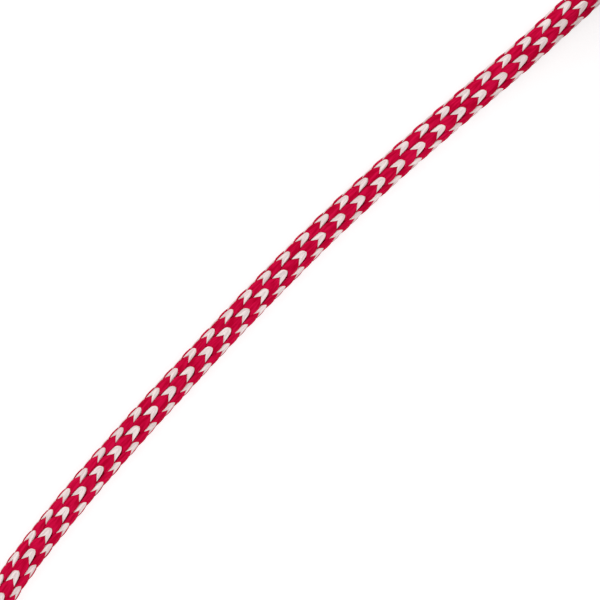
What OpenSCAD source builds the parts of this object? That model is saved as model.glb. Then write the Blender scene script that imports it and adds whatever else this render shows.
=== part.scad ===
// Dock line of solid braid rope, coiled for storage: one end led out along the floor to a whipped end, the other
// turned back into an eye, seized in two places and laid on the coil. Two hook and loop straps hold the coil.
// Millimetres, +Z up, standing on z = 0, with the origin under the middle of the outline.

/* [Rope] */
// Diameter of the rope
rope_d = 9.5; // [8:0.5:10]
// Share of the diameter that the filler core takes up
core_share = 0.4; // [0.2:0.05:0.6]

/* [Coil] */
// Radius of the middle of the coil's ring
coil_r = 60; // [56:1:64]
// Turns side by side in one layer
lanes = 5; // [5:1:5]
// Layers of turns
layers = 2; // [1:1:2]

/* [Eye] */
// Radius of the bend at the crown of the eye
crown_r = 19; // [16:1:24]
// Height that the seized parts are lifted by the twine under them
seizing_lift = 1; // [0.5:0.1:2]
// Arc of the coil that one seizing covers, in degrees
seizing_arc = 12; // [6:1:16]

/* [Twine] */
// Thickness of the twine as it stands proud of the rope
twine_t = 0.8; // [0.4:0.1:1.2]
// How far the twine bites into the rope
bite = 0.4; // [0.2:0.1:0.6]
// Length of the whipping on the free end
whipping_l = 14; // [8:1:18]

/* [Straps] */
// Width of each strap
strap_w = 16; // [10:1:20]
// Thickness of each strap
strap_t = 1.2; // [0.8:0.1:2]
// Length of the hook tab that closes each strap
tab_l = 24; // [16:1:30]

/* [Hidden] */
$fn = 64;

rope_r = rope_d / 2;
core_r = rope_r * core_share;
sides = 12;                                  // of each swept tube
red = [0.75, 0.01, 0.2];
yarn_white = [0.91, 0.86, 0.85];
twine_tan = [0.86, 0.8, 0.68];
strap_black = [0.06, 0.06, 0.07];

// The coil: its centre, and the radii of its inside and outside
cx = 114;
cy = 37;
half_ring = lanes * rope_r;
coil_in = coil_r - half_ring;
coil_out = coil_r + half_ring;
lane_in = coil_in + rope_r;                  // the middles of the inner and outer turns
lane_out = coil_out - rope_r;
coil_h = layers * rope_d;

// The heights of the rope's middle in the top layer, on the coil, and where the twine lifts it
z_top = coil_h - rope_r;
z_on = coil_h + rope_r;
z_seized = z_on + seizing_lift;

// The standing part, from the free end along the floor to the outer turn of the coil
end_z = rope_r + bite;                       // the whipped end rests on its twine
STANDING = [[-190, -120, end_z], [-183, -110, end_z], [-176, -100, rope_r], [-168, -88, rope_r],
    [-154, -70, rope_r], [-144, -58, rope_r], [-129, -41, rope_r], [-113, -23.5, rope_r],
    [-99.5, -9, rope_r], [-83, 8, rope_r], [-71, 20, rope_r], [-54, 36, rope_r], [-35, 53, rope_r],
    [-21, 65, rope_r], [0, 83, rope_r], [11, 93, rope_r], [28, 107, rope_r], [44, 113.5, rope_r],
    [61, 116, rope_r], [79, 116, rope_r], [97, 116, rope_r], [cx, cy + lane_out, rope_r]];

// The eye, as [radius about the coil, angle, height]. Its two parts lie side by side in the throat, just clear
// of each other.
part_clear = 0.15;
part_out = coil_r + rope_r + part_clear;
part_in = coil_r - rope_r - part_clear;
CLIMB = [[lane_out, -55, z_top], [lane_out, -67, z_top + 1], [lane_out, -79, z_top + 4.5],
    [lane_out, -91, z_top + 8.5], [lane_out - 0.5, -103, z_on + 0.5], [75, -116, z_seized],
    [69, -129, z_seized]];
THROAT_OUT = [for (a = [-142:-12:-178]) [part_out, a, z_seized]];
OPENING_OUT = [[70, -190, z_on + 0.5], [76, -202, z_on]];
crown_at = -334;
LEG_OUT = [for (a = [-216, -236, -256, -276, -296, -312, -326]) [lane_out, a, z_on]];
LEG_IN = [for (a = [-325, -315, -300, -280, -262, -245]) [lane_in, a, z_on]];
OPENING_IN = [[42.5, -232, z_on], [46, -218, z_on], [50, -205, z_on], [53.7, -191, z_on + 0.5]];
THROAT_IN = [for (a = [-178:12:-142]) [part_in, a, z_seized]];
TAIL = [[part_in, -128, z_seized], [part_in, -114, z_seized]];

function on_coil(p) = [cx + p[0] * cos(p[1]), cy + p[0] * sin(p[1]), p[2]];
// A point of the crown's bend, b degrees round from the outer leg
function crown_point(b) = let (out = coil_r + crown_r * cos(b), along = crown_r * sin(b))
    [cx + out * cos(crown_at) + along * sin(crown_at), cy + out * sin(crown_at) - along * cos(crown_at), z_on];
EYE = concat([for (p = concat(CLIMB, THROAT_OUT, OPENING_OUT, LEG_OUT)) on_coil(p)],
    [for (b = [0:20:180]) crown_point(b)],
    [for (p = concat(LEG_IN, OPENING_IN, THROAT_IN, TAIL)) on_coil(p)]);

// Where the seizings, the tail's whipping and the straps lie, as angles round the coil
throat_mid = -170;
end_mid = -149;
tail_end = -114;
tail_whipping_arc = 13;
coil_strap_at = -33;
eye_strap_at = -230;

function unit(v) = v / norm(v);
function heading(route, i) = unit(route[min(i + 1, len(route) - 1)] - route[max(i - 1, 0)]);
function ring(p, t, r) = let (side = unit(cross(t, [0, 0, 1])), up = cross(side, t))
    [for (i = [0:sides - 1]) p + r * (cos(i * 360 / sides) * side + sin(i * 360 / sides) * up)];
function rings(route, r) = [for (i = [0:len(route) - 1]) each ring(route[i], heading(route, i), r)];
// The faces between one ring and the next, from point first on, and turned inside out for a bore
function skin(count, first, bore) = [for (k = [0:count - 2]) for (i = [0:sides - 1])
    let (a = first + k * sides + i, b = first + k * sides + (i + 1) % sides, c = b + sides, d = a + sides)
        each bore ? [[c, b, a], [d, c, a]] : [[a, b, c], [a, c, d]]];
function flip(list, yes) = yes ? [for (i = [len(list) - 1:-1:0]) list[i]] : list;
// The flat ring of faces at one end of a hollow tube
function rim(outer, inner, start) = [for (i = [0:sides - 1]) let (j = (i + 1) % sides)
    each [flip([outer + i, outer + j, inner + j], start), flip([outer + i, inner + j, inner + i], start)]];

// A solid round tube along a route
module solid_tube(route, r) {
    n = len(route);
    last = (n - 1) * sides;
    polyhedron(rings(route, r), concat(skin(n, 0, false),
        [flip([for (i = [0:sides - 1]) i], true), [for (i = [0:sides - 1]) last + i]]));
}

// A hollow round tube along a route
module hollow_tube(route, r, bore) {
    n = len(route);
    inner = n * sides;
    last = (n - 1) * sides;
    polyhedron(concat(rings(route, r), rings(route, bore)), concat(skin(n, 0, false),
        skin(n, inner, true), rim(0, inner, true), rim(last, inner + last, false)));
}

// A section swept round the coil's middle line, centred on an angle
module round_the_coil(mid, arc) {
    translate([cx, cy, 0]) rotate([0, 0, mid - arc / 2]) rotate_extrude(angle = arc) children();
}

// The outline of two ropes side by side, grown or shrunk to radius r
module pair_outline(r) {
    for (x = [part_in, part_out]) translate([x, z_seized]) circle(r);
    translate([part_in, z_seized - r]) square([part_out - part_in, 2 * r]);
}

// A rectangle with round corners, from its lower left corner
module round_rect(w, h, r) {
    translate([r, 0]) square([w - 2 * r, h]);
    translate([0, r]) square([w, h - 2 * r]);
    for (x = [r, w - r]) for (y = [r, h - r]) translate([x, y]) circle(r);
}

// Turns of twine round both parts of the eye
module seizing(mid) {
    color(twine_tan) round_the_coil(mid, seizing_arc) difference() {
        pair_outline(rope_r + twine_t);
        pair_outline(rope_r - bite);
    }
}

// A rope end fused to a rounded button, standing on z = 0
module fused_end() {
    edge = 1.6;
    face_r = rope_r - bite;
    color(yarn_white) rotate_extrude() {
        square([face_r, edge]);
        square([face_r - edge, 2 * edge]);
        translate([face_r - edge, edge]) intersection() {
            circle(edge);
            square(edge);
        }
    }
}

// Puts its children in the plane that stands along the radius at an angle, x outward and y up, and makes them
// as thick as a strap is wide
module across_the_ring(at) {
    translate([cx, cy, 0]) rotate([0, 0, at]) rotate([90, 0, 0]) translate([0, 0, -strap_w / 2])
        linear_extrude(strap_w) children();
}

// The inner turns curve away from a straight strap, so it stands this far in from them
strap_in = sqrt(coil_in * coil_in - strap_w * strap_w / 4);

module strap(at, top) {
    color(strap_black) across_the_ring(at) difference() {
        translate([strap_in - strap_t, 0])
            round_rect(coil_out - strap_in + 2 * strap_t, top + strap_t, rope_r + strap_t);
        translate([strap_in, strap_t]) round_rect(coil_out - strap_in, top - strap_t, rope_r);
    }
}

module tab(at, top) {
    color(strap_black) across_the_ring(at) translate([coil_r - tab_l / 2, top + strap_t]) square([tab_l, strap_t]);
}

module standing_cover() { color(red) hollow_tube(STANDING, rope_r, core_r); }
module standing_core() { color(yarn_white) solid_tube(STANDING, core_r); }

// All the turns of the coil as one ring, notched where the straps pass under it
module coil_turns() {
    color(red) difference() {
        translate([cx, cy, 0]) rotate_extrude($fn = 128)
            translate([coil_in, 0]) round_rect(coil_out - coil_in, coil_h, rope_r);
        for (at = [coil_strap_at, eye_strap_at])
            across_the_ring(at) translate([0, -strap_t]) square([2 * coil_r, 2 * strap_t]);
    }
}

module eye_cover() { color(red) hollow_tube(EYE, rope_r, core_r); }
module eye_core() { color(yarn_white) solid_tube(EYE, core_r); }
module throat_seizing() { seizing(throat_mid); }
module end_seizing() { seizing(end_mid); }

// Turns a child that points along +Z to point out of the free end
module at_bitter_end() {
    out = unit(STANDING[0] - STANDING[1]);
    translate(STANDING[0]) rotate([0, 90, atan2(out[1], out[0])]) children();
}

module bitter_end_whipping() {
    gap = 3;
    color(twine_tan) at_bitter_end() translate([0, 0, -gap - whipping_l]) difference() {
        cylinder(h = whipping_l, r = rope_r + bite);
        translate([0, 0, -1]) cylinder(h = whipping_l + 2, r = rope_r - bite);
    }
}

module bitter_end_tip() { at_bitter_end() fused_end(); }

module tail_whipping() {
    gap_arc = 3;
    color(twine_tan) round_the_coil(tail_end - gap_arc - tail_whipping_arc / 2, tail_whipping_arc)
        translate([part_in, z_seized]) difference() {
            circle(rope_r + bite);
            circle(rope_r - bite);
        }
}

module tail_tip() {
    translate(on_coil([part_in, tail_end, z_seized])) rotate([0, 90, tail_end + 90]) fused_end();
}

module coil_strap() { strap(coil_strap_at, coil_h); }
module coil_strap_tab() { tab(coil_strap_at, coil_h); }
module eye_strap() { strap(eye_strap_at, z_on + rope_r); }
module eye_strap_tab() { tab(eye_strap_at, z_on + rope_r); }

standing_cover();
standing_core();
coil_turns();
eye_cover();
eye_core();
throat_seizing();
end_seizing();
bitter_end_whipping();
bitter_end_tip();
tail_whipping();
tail_tip();
coil_strap();
coil_strap_tab();
eye_strap();
eye_strap_tab();
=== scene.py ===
"""The dock line: a red and white solid braid rope, led out from its coil and seen from straight above.

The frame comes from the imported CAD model. The rope's route repeats the CAD source's, in metres. The cover
is built stitch by stitch along that route, so that its two colours, its seven columns of nested V stitches
and the gaps between them are all geometry. The twine, the fused ends and the straps replace the plain CAD
solids.
"""
import math

import bpy
import numpy as np
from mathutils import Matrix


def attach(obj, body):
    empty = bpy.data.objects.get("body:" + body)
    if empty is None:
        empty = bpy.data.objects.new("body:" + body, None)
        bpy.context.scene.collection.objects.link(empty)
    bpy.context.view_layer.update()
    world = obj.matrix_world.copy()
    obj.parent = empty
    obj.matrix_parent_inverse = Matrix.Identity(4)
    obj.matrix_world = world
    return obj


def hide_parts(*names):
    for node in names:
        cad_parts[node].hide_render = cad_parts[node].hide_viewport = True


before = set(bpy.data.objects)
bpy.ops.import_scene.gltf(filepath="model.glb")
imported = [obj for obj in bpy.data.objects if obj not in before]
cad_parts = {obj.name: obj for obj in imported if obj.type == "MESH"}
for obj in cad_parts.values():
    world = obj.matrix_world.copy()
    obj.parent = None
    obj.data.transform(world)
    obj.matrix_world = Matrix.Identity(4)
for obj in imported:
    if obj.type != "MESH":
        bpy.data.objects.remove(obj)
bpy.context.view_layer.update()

MM = 0.001
UP = np.array([0.0, 0.0, 1.0])

# ---------------------------------------------------------------- the rope's sizes, as in the CAD source
ROPE_D = 9.5 * MM
ROPE_R = ROPE_D / 2
LANES = 5
LAYERS = 2
COIL_R = 60 * MM
CROWN_R = 19 * MM
SEIZING_LIFT = 1 * MM
PART_CLEAR = 0.15 * MM
CORE_R = 1.9 * MM
TWINE_T = 0.8 * MM
BITE = 0.4 * MM
WHIPPING_L = 14 * MM
STRAP_W = 16 * MM
STRAP_T = 1.2 * MM
TAB_L = 24 * MM
CENTRE = np.array([114, 37]) * MM
LANE_OUT = COIL_R + (LANES - 1) * ROPE_R
LANE_IN = COIL_R - (LANES - 1) * ROPE_R
COIL_IN = COIL_R - LANES * ROPE_R
COIL_OUT = COIL_R + LANES * ROPE_R
COIL_H = LAYERS * ROPE_D
Z_FLOOR = ROPE_R                     # heights of the rope's middle
Z_TOP = COIL_H - ROPE_R
Z_ON = COIL_H + ROPE_R
Z_SEIZED = Z_ON + SEIZING_LIFT
PART_OUT = COIL_R + ROPE_R + PART_CLEAR
PART_IN = COIL_R - ROPE_R - PART_CLEAR
THROAT_MID, END_MID, SEIZING_ARC = -170, -149, 12         # degrees round the coil
COIL_STRAP_AT, EYE_STRAP_AT = -33, -230
STRAP_IN = math.sqrt(COIL_IN**2 - STRAP_W**2 / 4)
WHIPPING_GAP = 3 * MM                # from the end of the rope
TAIL_GAP = math.radians(3) * PART_IN
TAIL_WHIPPING_L = math.radians(13) * PART_IN
FACE_R = ROPE_R - BITE               # of the fused ends
TWINE_R = TWINE_T / 2
TWINE_PITCH = 0.82 * MM

# ---------------------------------------------------------------- camera: straight down, as in the photograph
VIEW_CENTRE = (-0.076, 0.0)          # the middle of the picture, on the floor
VIEW_W = 0.1972                      # how much of the rope's plane the picture is wide
CAMERA_UP = 1.6                      # the camera's height over that plane


def make_camera():
    """A camera that looks straight down from far above. The picture's width holds on the rope's own plane."""
    data = bpy.data.cameras.new("camera")
    data.sensor_width = 36
    data.lens = data.sensor_width * CAMERA_UP / VIEW_W
    data.clip_end = 20
    camera = bpy.data.objects.new("camera", data)
    camera.location = (*VIEW_CENTRE, Z_FLOOR + CAMERA_UP)
    bpy.context.scene.collection.objects.link(camera)
    bpy.context.scene.camera = camera


make_camera()

# ---------------------------------------------------------------- the rope's route
END_Z = ROPE_R + BITE
STANDING = np.array([
    (-190, -120, 0), (-183, -110, 0), (-176, -100, 0), (-168, -88, 0), (-154, -70, 0), (-144, -58, 0),
    (-129, -41, 0), (-113, -23.5, 0), (-99.5, -9, 0), (-83, 8, 0), (-71, 20, 0), (-54, 36, 0), (-35, 53, 0),
    (-21, 65, 0), (0, 83, 0), (11, 93, 0), (28, 107, 0), (44, 113.5, 0), (61, 116, 0), (79, 116, 0),
    (97, 116, 0)]) * MM + (0, 0, ROPE_R)
STANDING[:2, 2] = END_Z              # the whipped end rests on its twine


def on_coil(radius, angle, z):
    """A point at a radius and an angle in degrees about the coil's middle."""
    a = math.radians(angle)
    return CENTRE[0] + radius * math.cos(a), CENTRE[1] + radius * math.sin(a), z


def ease(x):
    """0 to 1, with a soft start and a soft stop."""
    x = min(max(x, 0.0), 1.0)
    return x * x * (3 - 2 * x)


TURN_STEP = 12                       # degrees between the coil's route points
SHIFT_ARC = 60                       # over which a turn moves one lane in or out
COIL_START = 90
LAYER_CLIMB = (-1580, -1700)         # the inner turn climbs to the top layer here
COIL_STOP = -3295                    # where the rope leaves the coil and climbs to the eye
CROWN_AT = -334                      # where the eye's crown starts to bend


def coil_point(angle):
    """Where the rope is in the coil. It winds clockwise from the outer lane inward along the floor, climbs,
    and winds outward on top."""
    if angle > LAYER_CLIMB[0]:
        turns, past = divmod(COIL_START + 10 - angle, 360)
        lane = turns - 1 + ease((past - 360 + SHIFT_ARC) / SHIFT_ARC) + (1 if turns >= 0 else 0)
        lane = min(max(lane, 0), LANES - 1)
        return on_coil(LANE_OUT - lane * ROPE_D, angle, Z_FLOOR)
    if angle > LAYER_CLIMB[1]:
        up = ease((LAYER_CLIMB[0] - angle) / (LAYER_CLIMB[0] - LAYER_CLIMB[1]))
        return on_coil(LANE_IN, angle, Z_FLOOR + up * (Z_TOP - Z_FLOOR))
    first_shift = LAYER_CLIMB[1] - 200
    turns, past = divmod(first_shift - angle, 360)
    lane = turns + ease(past / SHIFT_ARC) if angle < first_shift else 0
    return on_coil(LANE_IN + min(lane, LANES - 1) * ROPE_D, angle, Z_TOP)


def crown_point(b):
    """A point of the crown's bend, b degrees round from the eye's outer leg."""
    a = math.radians(CROWN_AT)
    out = COIL_R + CROWN_R * math.cos(math.radians(b))
    along = CROWN_R * math.sin(math.radians(b))
    return (CENTRE[0] + out * math.cos(a) + along * math.sin(a),
            CENTRE[1] + out * math.sin(a) - along * math.cos(a), Z_ON)


def eye_points():
    """The climb onto the coil, round the eye, and back down its inner part to the tail."""
    points = [on_coil(LANE_OUT, -55, Z_TOP), on_coil(LANE_OUT, -67, Z_TOP + 1 * MM),
              on_coil(LANE_OUT, -79, Z_TOP + 4.5 * MM), on_coil(LANE_OUT, -91, Z_TOP + 8.5 * MM),
              on_coil(LANE_OUT - 0.5 * MM, -103, Z_ON + 0.5 * MM), on_coil(75 * MM, -116, Z_SEIZED),
              on_coil(69 * MM, -129, Z_SEIZED)]
    points += [on_coil(PART_OUT, a, Z_SEIZED) for a in range(-142, -179, -12)]
    points += [on_coil(70 * MM, -190, Z_ON + 0.5 * MM), on_coil(76 * MM, -202, Z_ON)]
    points += [on_coil(LANE_OUT, a, Z_ON) for a in (-216, -236, -256, -276, -296, -312, -326)]
    points += [crown_point(b) for b in range(0, 181, 20)]
    points += [on_coil(LANE_IN, a, Z_ON) for a in (-325, -315, -300, -280, -262, -245)]
    points += [on_coil(42.5 * MM, -232, Z_ON), on_coil(46 * MM, -218, Z_ON), on_coil(50 * MM, -205, Z_ON),
               on_coil(53.7 * MM, -191, Z_ON + 0.5 * MM)]
    points += [on_coil(PART_IN, a, Z_SEIZED) for a in range(-178, -141, 12)]
    points += [on_coil(PART_IN, a, Z_SEIZED) for a in (-128, -114)]
    return points


def smooth(knots, step):
    """Points a step apart along one smooth curve through the knots."""
    knots = np.array(knots)
    gaps = np.linalg.norm(np.diff(knots, axis=0), axis=1)
    speed = np.diff(knots, axis=0) / gaps[:, None]
    before, after = gaps[:-1, None], gaps[1:, None]
    inner = (speed[:-1] * after + speed[1:] * before) / (before + after)
    tangents = np.vstack([speed[:1], inner, speed[-1:]])
    made = []
    for p, q, t0, t1, gap in zip(knots[:-1], knots[1:], tangents[:-1], tangents[1:], gaps, strict=True):
        u = np.linspace(0, 1, max(2, int(gap / step) + 1), endpoint=False)[:, None]
        made.append((2 * u**3 - 3 * u**2 + 1) * p + (u**3 - 2 * u**2 + u) * gap * t0
                    + (3 * u**2 - 2 * u**3) * q + (u**3 - u**2) * gap * t1)
    return np.vstack([*made, knots[-1:]])


def over_a_strap(points, angle):
    """How high the points on the floor are lifted by the strap that passes under the coil at an angle."""
    a = math.radians(angle)
    out = np.array([math.cos(a), math.sin(a)])
    from_centre = points[:, :2] - CENTRE
    aside = np.abs(from_centre @ np.array([-out[1], out[0]]))
    near = np.clip((2 * STRAP_W - 2 * aside) / STRAP_W, 0, 1)
    return STRAP_T * near * near * (3 - 2 * near) * (from_centre @ out > 0) * (points[:, 2] < ROPE_D)


coil_knots = [coil_point(a) for a in range(COIL_START, COIL_STOP, -TURN_STEP)]
LINE = smooth([*STANDING, *coil_knots, *eye_points()], 1.0 * MM)
for strap_angle in (COIL_STRAP_AT, EYE_STRAP_AT):
    LINE[:, 2] += over_a_strap(LINE, strap_angle)
ALONG = np.concatenate([[0], np.cumsum(np.linalg.norm(np.diff(LINE, axis=0), axis=1))])
LENGTH = float(ALONG[-1])
AHEAD = np.gradient(LINE, axis=0)
AHEAD /= np.linalg.norm(AHEAD, axis=1)[:, None]
SIDE = np.cross(AHEAD, UP)
SIDE /= np.linalg.norm(SIDE, axis=1)[:, None]
ABOVE = np.cross(SIDE, AHEAD)


def at(table, s):
    """Rows of a table along the rope, at the lengths s."""
    s = np.clip(s, 0, LENGTH)
    if table.ndim == 1:
        return np.interp(s, ALONG, table)
    return np.stack([np.interp(s, ALONG, column) for column in table.T], axis=-1)


def squeezed():
    """The rope's thickness along it, as a share of its full one: tight twine squeezes it."""
    tight = (ALONG > WHIPPING_GAP) & (ALONG < WHIPPING_GAP + WHIPPING_L)
    tight |= (ALONG < LENGTH - TAIL_GAP) & (ALONG > LENGTH - TAIL_GAP - TAIL_WHIPPING_L)
    from_centre = LINE[:, :2] - CENTRE
    angles = np.degrees(np.arctan2(from_centre[:, 1], from_centre[:, 0]))
    in_throat = (LINE[:, 2] > Z_ON) & (np.abs(np.hypot(*from_centre.T) - COIL_R) < ROPE_D)
    for mid in (THROAT_MID, END_MID):
        tight |= in_throat & (np.abs(angles - mid) < SEIZING_ARC / 2)
    share = np.where(tight, 1 - BITE / ROPE_R, 1.0)
    return np.convolve(np.pad(share, 2, mode="edge"), np.ones(5) / 5, mode="valid")


THICKNESS = squeezed()


def on_rope(s, turn, radius):
    """Points on the rope at lengths s along it, turned from straight up toward its right, at a radius."""
    out = np.cos(turn)[..., None] * at(ABOVE, s) + np.sin(turn)[..., None] * at(SIDE, s)
    return at(LINE, s) + (radius * at(THICKNESS, s))[..., None] * out


# ---------------------------------------------------------------- meshes
def add_mesh(name, points, faces, fibre=None):
    """A smooth shaded piece from arrays of points and faces, with its fibre coordinates."""
    mesh = bpy.data.meshes.new(name)
    mesh.from_pydata(points.reshape(-1, 3).tolist(), [], faces.tolist())
    if fibre is not None:
        layer = mesh.attributes.new("fibre", "FLOAT_VECTOR", "POINT")
        layer.data.foreach_set("vector", fibre.reshape(-1, 3).astype(np.float32).ravel())
    mesh.polygons.foreach_set("use_smooth", [True] * len(mesh.polygons))
    mesh.update()
    piece = bpy.data.objects.new(name, mesh)
    bpy.context.scene.collection.objects.link(piece)
    return piece


def grid_faces(rows, columns, closed=False):
    """The quads of a grid of points; closed joins the last column to the first."""
    r = np.arange(rows - 1)[:, None]
    c = np.arange(columns if closed else columns - 1)[None, :]
    after = (c + 1) % columns
    quads = [r * columns + c, r * columns + after, (r + 1) * columns + after, (r + 1) * columns + c]
    return np.stack([np.broadcast_to(q, (rows - 1, c.shape[1])) for q in quads], axis=-1).reshape(-1, 4)


def repeated(faces, points_each, count):
    """The faces of one copy, for count copies that follow each other."""
    return (faces[None] + points_each * np.arange(count)[:, None, None]).reshape(-1, 4)


def cord_tube(centres, radius, sides, lobes=0, lobe=0.0, lay=0.0):
    """A closed tube about a line of centres: points, faces and fibre coordinates. Its lobes run round it with
    a lay, as plies do."""
    ahead = np.gradient(centres, axis=0)
    ahead /= np.linalg.norm(ahead, axis=1)[:, None]
    side = np.cross(ahead, UP)
    flat = np.linalg.norm(side, axis=1) < 0.2
    side[flat] = np.cross(ahead[flat], (1.0, 0.0, 0.0))
    for i in range(1, len(side)):
        carried = side[i - 1] - ahead[i] * (side[i - 1] @ ahead[i])
        side[i] = carried / np.linalg.norm(carried)
    side[0] /= np.linalg.norm(side[0])
    above = np.cross(side, ahead)
    length = np.concatenate([[0], np.cumsum(np.linalg.norm(np.diff(centres, axis=0), axis=1))])
    turn = np.arange(sides) * 2 * math.pi / sides
    r = radius * (1 + lobe * np.cos(lobes * turn + length[:, None] * lay))
    round_it = np.cos(turn)[:, None] * above[:, None] + np.sin(turn)[:, None] * side[:, None]
    tips = np.broadcast_to(centres[[0, -1], None], (2, sides, 3))
    points = np.concatenate([tips[:1], centres[:, None] + r[..., None] * round_it, tips[1:]])
    across = turn * 3 / math.pi + length[:, None] * lay / 6
    fibre = np.stack(np.broadcast_arrays(across, length[:, None] / MM, 0.0), axis=-1)
    fibre = np.concatenate([fibre[:1], fibre, fibre[-1:]])
    return points, grid_faces(len(points), sides, closed=True), fibre


# ---------------------------------------------------------------- the cover, stitch by stitch
WALES = 7                            # columns of stitches round the rope
PERIOD = 8.811 * MM                  # between stitches of one colour in a wale
ODD_AHEAD = 0.56                     # how far every other wale is ahead, as a share of that
FIRST_APEX = 3.05 * MM
WALE_TURN = math.radians(12.3)       # how far wale 0 is turned to the rope's right at the middle of the view
TWIST = math.radians(17) / 0.28      # the wales' slow turn along the rope, per metre
TWIST_FROM = 0.178
TWIST_STRETCH = 0.34                 # past this the wales run straight
RED_BEHIND = 2.43 * MM               # from a white stitch's apex back to that of the red stitch inside it
FINE_UNTIL = 0.33                    # the stretch that is seen close to has finer stitches

# A stitch is a ribbon folded to a V: its outer and inner outlines from the apex to a leg's tip, as
# (back along the rope, across it) in millimetres; the other leg mirrors them.
WHITE = {
    "outer": [(0, 0), (0.12, 0.45), (0.43, 0.86), (0.92, 1.22), (1.64, 1.5), (2.63, 1.7), (3.62, 1.8),
              (4.6, 1.8), (5.42, 1.78)],
    "inner": [(1.51, 0), (1.58, 0), (1.78, 0), (2.1, 0), (2.56, 0), (3.2, 0), (3.72, 0.32), (4.45, 0.92),
              (5.42, 1.75)],
    "crotch": 5,
    "coarse": (0, 2, 3, 5, 8),
    # radius from the rope's middle, at outline points 0, 1, 2 and on: outer edge, crest, inner edge
    "edge": (4.24, 4.25, 4.27, 4.3, 4.32, 4.34, 4.36, 4.36, 4.36),
    "crest": (4.62, 4.63, 4.66, 4.7, 4.73, 4.75, 4.74, 4.68, 4.56),
    "inside": (4.7, 4.7, 4.72, 4.73, 4.72, 4.68, 4.62, 4.58, 4.46),
}
RED = {
    "outer": [(0, 0), (0.13, 0.66), (0.53, 1.18), (1.15, 1.52), (1.97, 1.75), (2.96, 1.9), (4.27, 2.38),
              (5.59, 2.42), (6.9, 2.25), (8.22, 2.0)],
    "inner": [(1.64, 0), (1.7, 0), (1.9, 0), (2.4, 0), (3.2, 0), (4.1, 0), (5.3, 0), (6.5, 0), (7.1, 0.9),
              (8.2, 1.93)],
    "crotch": 7,
    "coarse": (0, 2, 4, 7, 9),
    "edge": (3.9, 3.92, 3.98, 4.06, 4.14, 4.3, 4.58, 4.66, 4.6, 4.3),
    "crest": (4.15, 4.2, 4.28, 4.38, 4.5, 4.66, 4.8, 4.8, 4.66, 4.35),
    "inside": (4.38, 4.39, 4.42, 4.5, 4.62, 4.72, 4.74, 4.58, 4.46, 4.28),
}
APEX_ASIDE = 0.3 * MM                # a stitch's apex leans this far to the rope's left
APEX_LEAN = 5.4 * MM                 # and the lean fades out this far back
SKIRT = 0.55 * MM                    # how far a ribbon's edges turn down into the rope
ACROSS_FINE = (0, 0.12, 0.42, 0.75, 1)
ACROSS_COARSE = (0, 0.5, 1)
CREST_AT = 0.45
INSIDE_R = 3.95 * MM                 # of the dark tube behind the stitches
INSIDE_STEP = 4.4 * MM
STRAY_ALONG = 0.06 * MM              # how much the stitches differ in their places
STRAY_TURN = 0.008
STRAY_OUT = 0.02 * MM


def stitch_template(shape, fine):
    """Points of one stitch as (back, across, radius, fibre across, fibre along), and its faces."""
    pick = range(len(shape["outer"])) if fine else shape["coarse"]
    columns = [(-1, i) for i in reversed(pick) if i] + [(1, i) for i in pick]
    rows = []
    along = 0.0
    before = None
    for hand, i in columns:
        outer, inner = np.array(shape["outer"][i]) * MM, np.array(shape["inner"][i]) * MM
        edge, crest, inside = (shape[k][i] * MM for k in ("edge", "crest", "inside"))
        middle = (outer + inner) / 2 * (1, hand)
        along += 0 if before is None else float(np.linalg.norm(middle - before)) / MM
        before = middle
        row = [(*(outer + 0.12 * (inner - outer)), edge - SKIRT, 0.0)]
        for q in ACROSS_FINE if fine else ACROSS_COARSE:
            back, across = outer + q * (inner - outer)
            if q < CREST_AT:
                radius = edge + (crest - edge) * math.sqrt(1 - (1 - q / CREST_AT) ** 2)
            else:
                radius = crest + (inside - crest) * ((q - CREST_AT) / (1 - CREST_AT)) ** 2
            row.append((back, across, radius, q))
        row.append((*inner, inside - SKIRT * (i > shape["crotch"]), 1.0))
        rows.append([(back, hand * across, radius, q, along) for back, across, radius, q in row])
    faces = grid_faces(len(rows), len(rows[0]))
    column = faces.min(axis=1) // len(rows[0])
    last = faces.min(axis=1) % len(rows[0]) == len(rows[0]) - 2
    in_crease = np.array([max(columns[c][1], columns[c + 1][1]) <= shape["crotch"] for c in column])
    return np.array(rows).reshape(-1, 5), faces[~(last & in_crease)]


def wale_turn(wale, s):
    """How far a wale's middle is turned from straight up, at the lengths s."""
    twist = TWIST * (np.minimum(s, TWIST_STRETCH) - TWIST_FROM)
    return WALE_TURN + wale * 2 * math.pi / WALES + twist


def stitches(shape, behind, seed):
    """All the stitches of one colour: points, faces and fibre coordinates."""
    rng = np.random.default_rng(seed)
    points, faces, fibres, made = [], [], [], 0
    for fine in (True, False):
        template, quads = stitch_template(shape, fine)
        for wale in range(-(WALES // 2), WALES // 2 + 1):
            ahead = (wale % 2) * ODD_AHEAD
            apex = np.arange(FIRST_APEX + ahead * PERIOD - behind, LENGTH, PERIOD)
            apex = apex[(apex < FINE_UNTIL) == fine]
            back, across, radius, q, along = template.T
            n = len(apex)
            s = apex[:, None] - back[None] + rng.normal(0, STRAY_ALONG, (n, 1))
            lean = APEX_ASIDE * np.clip(1 - ((back + behind) / APEX_LEAN) ** 2, 0, 1)
            turn = wale_turn(wale, s) + (across - lean)[None] / ROPE_R + rng.normal(0, STRAY_TURN, (n, 1))
            r = radius[None] + rng.normal(0, STRAY_OUT, (n, 1))
            own = rng.uniform(0, 90, (n, 1))                 # so no two stitches have the same streaks
            points.append(on_rope(s, turn, r).reshape(-1, 3))
            faces.append(repeated(quads, len(template), n) + made)
            fibres.append(np.stack(np.broadcast_arrays(q, along, own), axis=-1).reshape(-1, 3))
            made += n * len(template)
    return np.vstack(points), np.vstack(faces), np.vstack(fibres)


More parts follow.
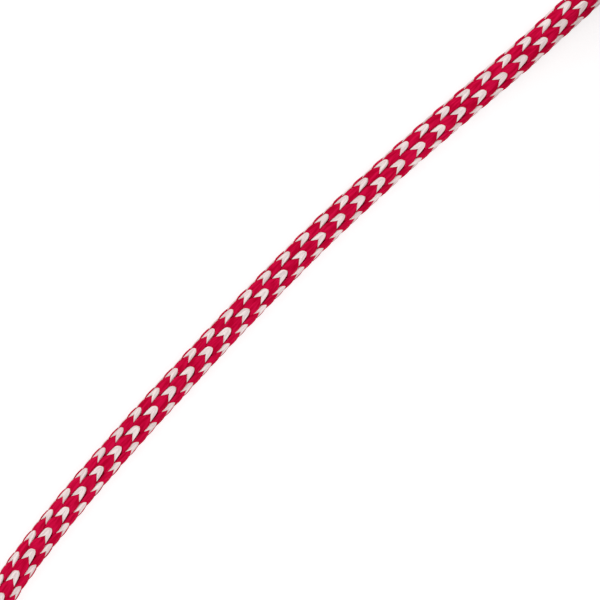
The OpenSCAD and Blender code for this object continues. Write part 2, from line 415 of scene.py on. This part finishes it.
def backing():
    """The inside of the cover, a tube that shows dark between the stitches."""
    sides = 8
    s, turn = np.meshgrid(np.linspace(0, LENGTH, int(LENGTH / INSIDE_STEP)),
                          np.arange(sides) * 2 * math.pi / sides, indexing="ij")
    points = on_rope(s, turn, np.full(s.shape, INSIDE_R))
    fibre = np.stack([turn, s / MM, np.zeros_like(s)], axis=-1)
    return points, grid_faces(*s.shape, closed=True), fibre


def joined(*parts):
    """Several (points, faces, fibre) as one."""
    points, faces, fibres, made = [], [], [], 0
    for p, f, fibre in parts:
        points.append(p.reshape(-1, 3))
        faces.append(f + made)
        fibres.append(fibre.reshape(-1, 3))
        made += len(points[-1])
    return np.vstack(points), np.vstack(faces), np.vstack(fibres)


red_strands = add_mesh("red_strands", *joined(stitches(RED, RED_BEHIND, 3), backing()))
white_strands = add_mesh("white_strands", *stitches(WHITE, 0, 5))


# ---------------------------------------------------------------- the core's yarns
CORE_YARNS = 7
CORE_LAY = 30 * MM                   # the length in which the yarns go once round


def core():
    """The core's yarns as one lobed cord."""
    centres = at(LINE, np.arange(0, LENGTH, 3 * MM))
    return cord_tube(centres, CORE_R, 2 * CORE_YARNS, lobes=CORE_YARNS, lobe=0.12, lay=2 * math.pi / CORE_LAY)


core_yarns = add_mesh("core_yarns", *core())


# ---------------------------------------------------------------- twine
TWINE_PLIES = 3
TWINE_LAY = 2.4 * MM
WHIPPING_STEPS = 20                  # points in one turn
SEIZING_STEPS = 36
FRAPPING_STEPS = 24
FRAPPING_TURNS = 2
FRAPPING_SQUARE = 0.35               # 1 would be an ellipse, less has straighter sides


def twine_tube(centres):
    """Plied twine along a line of centres."""
    return cord_tube(np.array(centres), TWINE_R, 8, lobes=TWINE_PLIES, lobe=0.1, lay=2 * math.pi / TWINE_LAY)


def whipping(start, length):
    """Close turns of twine round the rope."""
    turns = int(length / TWINE_PITCH)
    steps = np.arange(turns * WHIPPING_STEPS + 1) / WHIPPING_STEPS
    s = start + TWINE_R + steps * (length - 2 * TWINE_R) / turns
    radius = (ROPE_R + BITE - TWINE_R) * np.ones_like(s) / at(THICKNESS, s)
    return twine_tube(on_rope(s, steps * 2 * math.pi, radius))


def pair_point(share):
    """A point of one turn of twine round both parts of the eye, as (radius about the coil, height)."""
    r = ROPE_R + TWINE_T / 2
    half = (PART_OUT - PART_IN) / 2
    flat, bend = 2 * half, math.pi * r
    d = (share % 1) * 2 * (flat + bend)
    if d < flat:
        return COIL_R - half + d, Z_SEIZED + r
    if d < flat + bend:
        a = (d - flat) / r
        return COIL_R + half + r * math.sin(a), Z_SEIZED + r * math.cos(a)
    if d < 2 * flat + bend:
        return COIL_R + half - (d - flat - bend), Z_SEIZED - r
    a = (d - 2 * flat - bend) / r
    return COIL_R - half - r * math.sin(a), Z_SEIZED - r * math.cos(a)


def squared(x):
    """A sine or cosine made squarer, so that a turn's sides are straighter."""
    return math.copysign(abs(x) ** FRAPPING_SQUARE, x)


def seizing(mid):
    """Close turns round both parts, then frapping turns over them, lengthwise between the parts."""
    turns = int(math.radians(SEIZING_ARC) * COIL_R / TWINE_PITCH)
    spread = SEIZING_ARC * 0.94                              # leaves room for half a twine at each end
    round_turns = []
    for i in range(turns * SEIZING_STEPS + 1):
        turn = i / SEIZING_STEPS
        radius, z = pair_point(turn)
        round_turns.append(on_coil(radius, mid + spread * (turn / turns - 0.5), z))
    frapping = []
    reach = SEIZING_ARC / 2 + 0.6
    over, under = ROPE_R + TWINE_T + 0.7 * TWINE_R, 0.93 * (ROPE_R + TWINE_T + 0.7 * TWINE_R)
    for i in range(FRAPPING_TURNS * FRAPPING_STEPS + 1):
        turn = i / FRAPPING_STEPS
        a = turn * 2 * math.pi
        aside = (turn / FRAPPING_TURNS - 0.5) * 2 * TWINE_PITCH
        lift = squared(math.sin(a)) * (over if math.sin(a) > 0 else under)
        frapping.append(on_coil(COIL_R + aside, mid + squared(math.cos(a)) * reach, Z_SEIZED + lift))
    return joined(twine_tube(round_turns), twine_tube(frapping))


bitter_end_twine = add_mesh("bitter_end_twine", *whipping(WHIPPING_GAP, WHIPPING_L))
tail_twine = add_mesh("tail_twine", *whipping(LENGTH - TAIL_GAP - TAIL_WHIPPING_L, TAIL_WHIPPING_L))
throat_twine = add_mesh("throat_twine", *seizing(THROAT_MID))
end_twine = add_mesh("end_twine", *seizing(END_MID))


# ---------------------------------------------------------------- fused ends
# A fused end's outline: how far out along the rope in millimetres, and its radius as a share of the full one
CAP_OUTLINE = ((-1.2, 0.97), (-0.6, 1.02), (0, 1.03), (0.7, 1.02), (1.4, 0.97), (2.0, 0.9), (2.5, 0.8),
               (2.85, 0.67), (3.05, 0.52), (3.15, 0.36), (3.18, 0.2), (3.16, 0.1), (3.15, 0.05), (3.15, 0.0))
CAP_SIDES = 40
CAP_LUMPS = ((8, 0.035), (3, 0.03))  # how many round the cap, and how high as a share of the radius
CAP_TILT = 0.14 * MM


def fused_cap(s_end, way, seed):
    """The melted end of the rope: a lumpy button over all its yarns. Its way is -1 at the rope's start."""
    phases = np.random.default_rng(seed).uniform(0, 2 * math.pi, 3)
    turn = np.arange(CAP_SIDES) * 2 * math.pi / CAP_SIDES
    end = np.array([s_end])
    base, ahead = at(LINE, end), at(AHEAD, end) * way
    round_it = np.cos(turn)[:, None] * at(ABOVE, end) + np.sin(turn)[:, None] * at(SIDE, end)
    (many, low), (few, high) = CAP_LUMPS
    points, fibre = [], []
    for out, share in CAP_OUTLINE:
        lumps = low * np.cos(many * turn + phases[0]) + high * np.cos(few * turn + phases[1] + out)
        r = FACE_R * share * (1 + lumps * min(1, share * 1.4))
        push = out * MM + CAP_TILT * np.cos(2 * turn + phases[2]) * share
        points.append(base + push[:, None] * ahead + r[:, None] * round_it)
        fibre.append(np.stack(np.broadcast_arrays(turn / (2 * math.pi), share, 0.0), axis=-1))
    return np.array(points), grid_faces(len(CAP_OUTLINE), CAP_SIDES, closed=True), np.array(fibre)


bitter_end_cap = add_mesh("bitter_end_cap", *fused_cap(0.0, -1, 11))
tail_cap = add_mesh("tail_cap", *fused_cap(LENGTH, 1, 12))


# ---------------------------------------------------------------- straps
STRAP_STEP = 1.5 * MM                # between points along a strap
TAB_LIFT = np.array([0.05, 0.2, 0.45]) * MM                  # how far a tab's free end stands up
THREAD_R = 0.18 * MM
STITCH_L = 2 * MM
STITCH_ARCH = 0.16 * MM
# the box of stitches, as (outward from the coil's middle line, round the coil)
STITCH_BOX = np.array([(-10, -6), (-1, -6), (-1, 6), (-10, 6), (-10, -6)]) * MM


def strap_profile(top):
    """The strap's middle line round the coil, as (radius, height), one way round from its top middle."""
    r = ROPE_R + STRAP_T / 2
    x0, x1 = STRAP_IN - STRAP_T / 2, COIL_OUT + STRAP_T / 2
    z0, z1 = STRAP_T / 2, top + STRAP_T / 2
    corners = [(x1 - r, z1 - r, 90), (x1 - r, z0 + r, 0), (x0 + r, z0 + r, -90), (x0 + r, z1 - r, -180)]
    line = [(COIL_R, z1)]
    for x, z, start in corners:
        line += [(x + r * math.cos(math.radians(start - a)), z + r * math.sin(math.radians(start - a)))
                 for a in range(0, 91, 10)]
    line.append((COIL_R, z1))
    fine = [np.array(line[0])]
    for point in line[1:]:
        gap = np.linalg.norm(np.array(point) - fine[-1])
        steps = max(1, int(gap / STRAP_STEP))
        fine += [fine[-1] + (np.array(point) - fine[-1]) * (k + 1) / steps for k in range(steps)]
    return np.array(fine)


def outward(angle):
    """The directions away from the coil's middle at an angle, and round the coil there."""
    a = math.radians(angle)
    return np.array([math.cos(a), math.sin(a), 0]), np.array([-math.sin(a), math.cos(a), 0])


def webbing(line, angle, width, thick, closed):
    """A woven strap with rounded edges along a line of (radius, height), in the plane that stands along the
    coil's radius at an angle. It is closed where it comes back to its start, or else its ends are cut off."""
    out, along = outward(angle)
    ahead = np.gradient(line, axis=0)
    ahead /= np.linalg.norm(ahead, axis=1)[:, None]
    normal = np.stack([-ahead[:, 1], ahead[:, 0]], axis=1)
    length = np.concatenate([[0], np.cumsum(np.linalg.norm(np.diff(line, axis=0), axis=1))])
    half, h = width / 2, thick / 2
    bend = [math.radians(b) for b in range(0, 91, 30)]
    section = [(h * (1 - math.cos(b)) - half, h * math.sin(b)) for b in bend]
    section += [(-half + h + (width - 2 * h) * k / 8, h) for k in range(1, 8)]
    section += [(-x, y) for x, y in reversed(section[:len(bend)])]
    section += [(x, -y) for x, y in reversed(section[1:-1])]
    across, up = np.array(section).T
    points = (np.array([*CENTRE, 0]) + line[:, None, :1] * out + line[:, None, 1:] * UP
              + across[None, :, None] * along
              + up[None, :, None] * (normal[:, None, :1] * out + normal[:, None, 1:] * UP))
    fibre = np.stack(np.broadcast_arrays(across, length[:, None], up), axis=-1) / MM
    if not closed:
        flat = (points + points[:, -np.arange(len(section))]) / 2
        points = np.concatenate([flat[:1], points, flat[-1:]])
        fibre = np.concatenate([fibre[:1], fibre, fibre[-1:]])
    return points, grid_faces(len(points), len(section), closed=True), fibre


def strap(name, angle, top):
    """A strap all the way round the rope's turns, up to a height."""
    return add_mesh(name, *webbing(strap_profile(top), angle, STRAP_W, STRAP_T, True))


def strap_tab(name, angle, top):
    """The hook tab on top of a strap. Its free end stands up a little."""
    line = np.array([(COIL_R + x, top + 1.5 * STRAP_T) for x in np.linspace(-TAB_L / 2, TAB_L / 2, 21)])
    line[-len(TAB_LIFT):, 1] += TAB_LIFT
    return add_mesh(name, *webbing(line, angle, STRAP_W - 0.4 * MM, STRAP_T, False))


def thread(name, angle, top):
    """The box of thread stitches that sews the tab to its strap."""
    out, along = outward(angle)
    top_middle = np.array([*CENTRE, top + 2 * STRAP_T - 0.05 * MM]) + COIL_R * out
    share = np.linspace(0, 1, 7)[:, None]
    arch = STITCH_ARCH * np.sin(np.pi * share) * UP
    parts = []
    for p, q in zip(STITCH_BOX[:-1], STITCH_BOX[1:], strict=True):
        count = round(float(np.linalg.norm(q - p)) / STITCH_L)
        for k in range(count):
            flat = p + (q - p) * (k + 0.08 + 0.84 * share) / count
            centres = top_middle + flat[:, :1] * out + flat[:, 1:] * along + arch
            parts.append(cord_tube(centres, THREAD_R, 6))
    return add_mesh(name, *joined(*parts))


coil_strap = strap("coil_strap_loop", COIL_STRAP_AT, COIL_H)
eye_strap = strap("eye_strap_loop", EYE_STRAP_AT, Z_ON + ROPE_R)
coil_tab = strap_tab("coil_strap_hook", COIL_STRAP_AT, COIL_H)
eye_tab = strap_tab("eye_strap_hook", EYE_STRAP_AT, Z_ON + ROPE_R)
coil_thread = thread("coil_strap_thread", COIL_STRAP_AT, COIL_H)
eye_thread = thread("eye_strap_thread", EYE_STRAP_AT, Z_ON + ROPE_R)


# ---------------------------------------------------------------- materials
class Shader:
    """A Principled material and short ways to add nodes to it."""

    def __init__(self, name, roughness, **sockets):
        self.material = bpy.data.materials.new(name)
        self.material.use_nodes = True
        self.nodes = self.material.node_tree.nodes
        self.links = self.material.node_tree.links
        self.shader = self.nodes["Principled BSDF"]
        self.shader.inputs["Roughness"].default_value = roughness
        for socket, value in sockets.items():
            self.shader.inputs[socket.replace("_", " ")].default_value = value

    def add(self, kind, **settings):
        node = self.nodes.new(kind)
        for key, value in settings.items():
            if hasattr(node, key):
                setattr(node, key, value)
            else:
                node.inputs[key.replace("_", " ")].default_value = value
        return node

    def link(self, source, target):
        self.links.new(source, target)

    def fibre(self, scale):
        """The mesh's fibre coordinates, scaled."""
        attribute = self.add("ShaderNodeAttribute", attribute_name="fibre")
        mapping = self.add("ShaderNodeMapping", Scale=scale)
        self.link(attribute.outputs["Vector"], mapping.inputs["Vector"])
        return mapping.outputs["Vector"]

    def place(self):
        return self.add("ShaderNodeTexCoord").outputs["Object"]

    def noise(self, vector, scale, detail=2.0):
        node = self.add("ShaderNodeTexNoise", Scale=scale, Detail=detail)
        self.link(vector, node.inputs["Vector"])
        return node.outputs["Fac"]

    def between(self, factor, low, high, dark, light):
        """A colour from dark to light as the factor goes from low to high."""
        ramp = self.add("ShaderNodeValToRGB")
        stops = ((low, dark), (high, light))
        for element, (position, colour) in zip(ramp.color_ramp.elements, stops, strict=True):
            element.position = position
            element.color = (*colour, 1)
        self.link(factor, ramp.inputs["Fac"])
        return ramp.outputs["Color"]

    def multiply(self, a, b, factor=1.0):
        mix = self.add("ShaderNodeMix", data_type="RGBA", blend_type="MULTIPLY")
        mix.inputs["Factor"].default_value = factor
        self.link(a, mix.inputs["A"])
        self.link(b, mix.inputs["B"])
        return mix.outputs["Result"]

    def bump(self, height, distance, strength, after=None):
        node = self.add("ShaderNodeBump", Strength=strength, Distance=distance)
        self.link(height, node.inputs["Height"])
        if after is not None:
            self.link(after, node.inputs["Normal"])
        return node.outputs["Normal"]

    def finish(self, colour, normal):
        self.link(colour, self.shader.inputs["Base Color"])
        self.link(normal, self.shader.inputs["Normal"])
        return self.material


def yarn(name, dark, light, roughness=0.6, sheen=0.03):
    """Multifilament yarn: fine streaks along each strand, and slow changes of tone from stitch to stitch,
    partly a painted highlight in the red.
    """
    m = Shader(name, roughness, Sheen_Weight=sheen, Sheen_Roughness=0.45, Sheen_Tint=(*light, 1), IOR=1.49,
               Specular_IOR_Level=0.01)
    streaks = m.noise(m.fibre((7, 0.5, 1)), 1.6, 3)
    bands = m.noise(m.fibre((3, 0.16, 1)), 1.0, 1)
    colour = m.multiply(m.between(bands, 0.36, 0.64, dark, light),
                        m.between(streaks, 0.3, 0.7, (0.88, 0.88, 0.88), (1, 1, 1)))
    fine = m.noise(m.fibre((16, 1.2, 1)), 2.0, 2)
    normal = m.bump(fine, 0.05 * MM, 0.5, m.bump(streaks, 0.12 * MM, 0.7))
    return m.finish(colour, normal)


def twine_material():
    """Waxed twine: plies round the turn, darker where the plies' bump sinks, and a little random dirt."""
    m = Shader("waxed_twine", 0.55, Sheen_Weight=0.1, Coat_Weight=0.12, Coat_Roughness=0.4)
    plies = m.noise(m.fibre((1, 2, 1)), 1.5, 3)
    soil = m.noise(m.place(), 220, 2)
    # the ply noise darkens the colour where it also lowers the bump, in the grooves between the plies
    colour = m.multiply(m.between(plies, 0.3, 0.7, (0.5, 0.43, 0.31), (0.78, 0.71, 0.57)),
                        m.between(soil, 0.35, 0.65, (0.86, 0.84, 0.8), (1, 1, 1)))
    return m.finish(colour, m.bump(plies, 0.1 * MM, 0.5))


def fused_material():
    """Red and white yarns melted together: swirled, darker where they scorched, and shiny."""
    m = Shader("fused_yarn", 0.28, Coat_Weight=0.3, Coat_Roughness=0.2, IOR=1.49)
    swirl = m.noise(m.place(), 380, 4)
    scorch = m.noise(m.place(), 150, 2)
    colour = m.multiply(m.between(swirl, 0.42, 0.58, (0.42, 0.004, 0.03), (0.74, 0.5, 0.46)),
                        m.between(scorch, 0.35, 0.7, (0.6, 0.52, 0.45), (1, 1, 1)))
    return m.finish(colour, m.bump(swirl, 0.3 * MM, 0.5))


def webbing_material(name, pile):
    """Black hook and loop webbing: a brushed pile, or rows of small hooks."""
    m = Shader(name, 0.8, Sheen_Weight=0.12, Sheen_Roughness=0.5, Specular_IOR_Level=0.15)
    if pile:
        tufts = m.noise(m.fibre((1, 1, 1)), 2.6, 4)
    else:
        grid = m.add("ShaderNodeTexVoronoi", Scale=1.5, Randomness=0.35)
        m.link(m.fibre((1, 1, 0.2)), grid.inputs["Vector"])
        tufts = grid.outputs["Distance"]
    dust = m.noise(m.place(), 160, 3)
    colour = m.multiply(m.between(tufts, 0.25, 0.75, (0.007, 0.007, 0.009), (0.04, 0.04, 0.045)),
                        m.between(dust, 0.35, 0.7, (0.7, 0.7, 0.7), (1, 1, 1)))
    return m.finish(colour, m.bump(tufts, 0.35 * MM, 0.8))


# the red's light end is partly painted highlight: its pale bands stand in for glints, as the specular is
# almost off
RED_DARK, RED_PALE_AND_GLINT = (0.46, 0.0004, 0.026), (0.66, 0.004, 0.056)
WHITE_DARK, WHITE_LIGHT = (0.76, 0.62, 0.61), (0.96, 0.83, 0.815)

red_yarn = yarn("red_yarn", RED_DARK, RED_PALE_AND_GLINT)
white_yarn = yarn("white_yarn", WHITE_DARK, WHITE_LIGHT)
core_yarn = yarn("core_yarn", (0.62, 0.6, 0.55), (0.8, 0.78, 0.73), 0.6)
thread_yarn = yarn("strap_thread", (0.1, 0.1, 0.105), (0.2, 0.2, 0.21), 0.5)
twine_yarn = twine_material()
fused_yarn = fused_material()
loop_pile = webbing_material("loop_pile", True)
hook_tape = webbing_material("hook_tape", False)

# each piece, with its material, a slot name and the CAD nodes that it stands for
COVERED = ("standing_cover", "coil_turns", "eye_cover")
PIECES = (
    (red_strands, red_yarn, "cover_red", COVERED),
    (white_strands, white_yarn, "cover_white", COVERED),
    (core_yarns, core_yarn, "core_yarn", ("standing_core", "eye_core")),
    (bitter_end_twine, twine_yarn, "twine", ("bitter_end_whipping",)),
    (tail_twine, twine_yarn, "twine", ("tail_whipping",)),
    (throat_twine, twine_yarn, "twine", ("throat_seizing",)),
    (end_twine, twine_yarn, "twine", ("end_seizing",)),
    (bitter_end_cap, fused_yarn, "fused_end", ("bitter_end_tip",)),
    (tail_cap, fused_yarn, "fused_end", ("tail_tip",)),
    (coil_strap, loop_pile, "strap_loop", ("coil_strap",)),
    (eye_strap, loop_pile, "strap_loop", ("eye_strap",)),
    (coil_tab, hook_tape, "strap_hook", ("coil_strap_tab",)),
    (eye_tab, hook_tape, "strap_hook", ("eye_strap_tab",)),
    (coil_thread, thread_yarn, "strap_hook", ("coil_strap_tab",)),
    (eye_thread, thread_yarn, "strap_hook", ("eye_strap_tab",)),
)
for piece, material, slot, nodes in PIECES:
    piece.data.materials.append(material)
    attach(piece, "root")
    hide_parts(*nodes)


# ---------------------------------------------------------------- the floor, the lights and the world
def white_ray(nodes, links):
    """1 for what is seen straight, in a reflection or through glass, and 0 for the light on the object."""
    rays = nodes.new("ShaderNodeLightPath")
    total = rays.outputs["Is Camera Ray"]
    for name in ("Is Glossy Ray", "Is Transmission Ray"):
        either = nodes.new("ShaderNodeMath")
        either.operation = "MAXIMUM"
        links.new(total, either.inputs[0])
        links.new(rays.outputs[name], either.inputs[1])
        total = either.outputs[0]
    return total


FLOOR_GREY = 0.45                    # what the floor gives back of the light, so it keeps a pale shadow
FLOOR_GLOW = 0.68                    # and what it adds to the picture, so it is white away from the object


def make_floor():
    """A pale floor that keeps the object's shadow and otherwise reads as white."""
    mesh = bpy.data.meshes.new("floor")
    mesh.from_pydata([(-3, -3, 0), (3, -3, 0), (3, 3, 0), (-3, 3, 0)], [], [(0, 1, 2, 3)])
    floor = bpy.data.objects.new("floor", mesh)
    bpy.context.scene.collection.objects.link(floor)
    m = Shader("pale_floor", 0.9, Specular_IOR_Level=0.1)
    grain = m.noise(m.place(), 60, 2)
    pale = m.between(grain, 0, 1, (FLOOR_GREY, ) * 3, (FLOOR_GREY + 0.01, ) * 3)
    m.link(pale, m.shader.inputs["Base Color"])
    glow = m.add("ShaderNodeMath", operation="MULTIPLY")
    glow.inputs[1].default_value = FLOOR_GLOW
    m.link(white_ray(m.nodes, m.links), glow.inputs[0])
    m.shader.inputs["Emission Color"].default_value = (1, 1, 1, 1)
    m.link(glow.outputs[0], m.shader.inputs["Emission Strength"])
    floor.data.materials.append(m.material)


def make_world(strength):
    """Even white light from all round, and white behind everything that is seen."""
    world = bpy.data.worlds.new("studio")
    world.use_nodes = True
    nodes, links = world.node_tree.nodes, world.node_tree.links
    background = nodes["Background"]
    background.inputs["Color"].default_value = (1, 1, 1, 1)
    level = nodes.new("ShaderNodeMapRange")
    level.inputs["To Min"].default_value = strength
    links.new(white_ray(nodes, links), level.inputs["Value"])
    links.new(level.outputs["Result"], background.inputs["Strength"])
    bpy.context.scene.world = world


def make_light(name, place, size, watts):
    """A round area light at a place, turned toward the middle of the part."""
    data = bpy.data.lights.new(name, "AREA")
    data.shape = "DISK"
    data.size = size
    data.energy = watts
    light = bpy.data.objects.new(name, data)
    light.location = place
    x, y, z = place
    light.rotation_euler = (math.atan2(math.hypot(x, y), z), 0, math.atan2(y, x) + math.pi / 2)
    bpy.context.scene.collection.objects.link(light)


make_floor()
make_world(0.77)
make_light("softbox_left", (-1.35, 1.25, 0.75), 1.4, 15)
make_light("softbox_right", (1.25, -1.35, 0.75), 1.4, 14)
bpy.context.scene.view_settings.view_transform = "Standard"
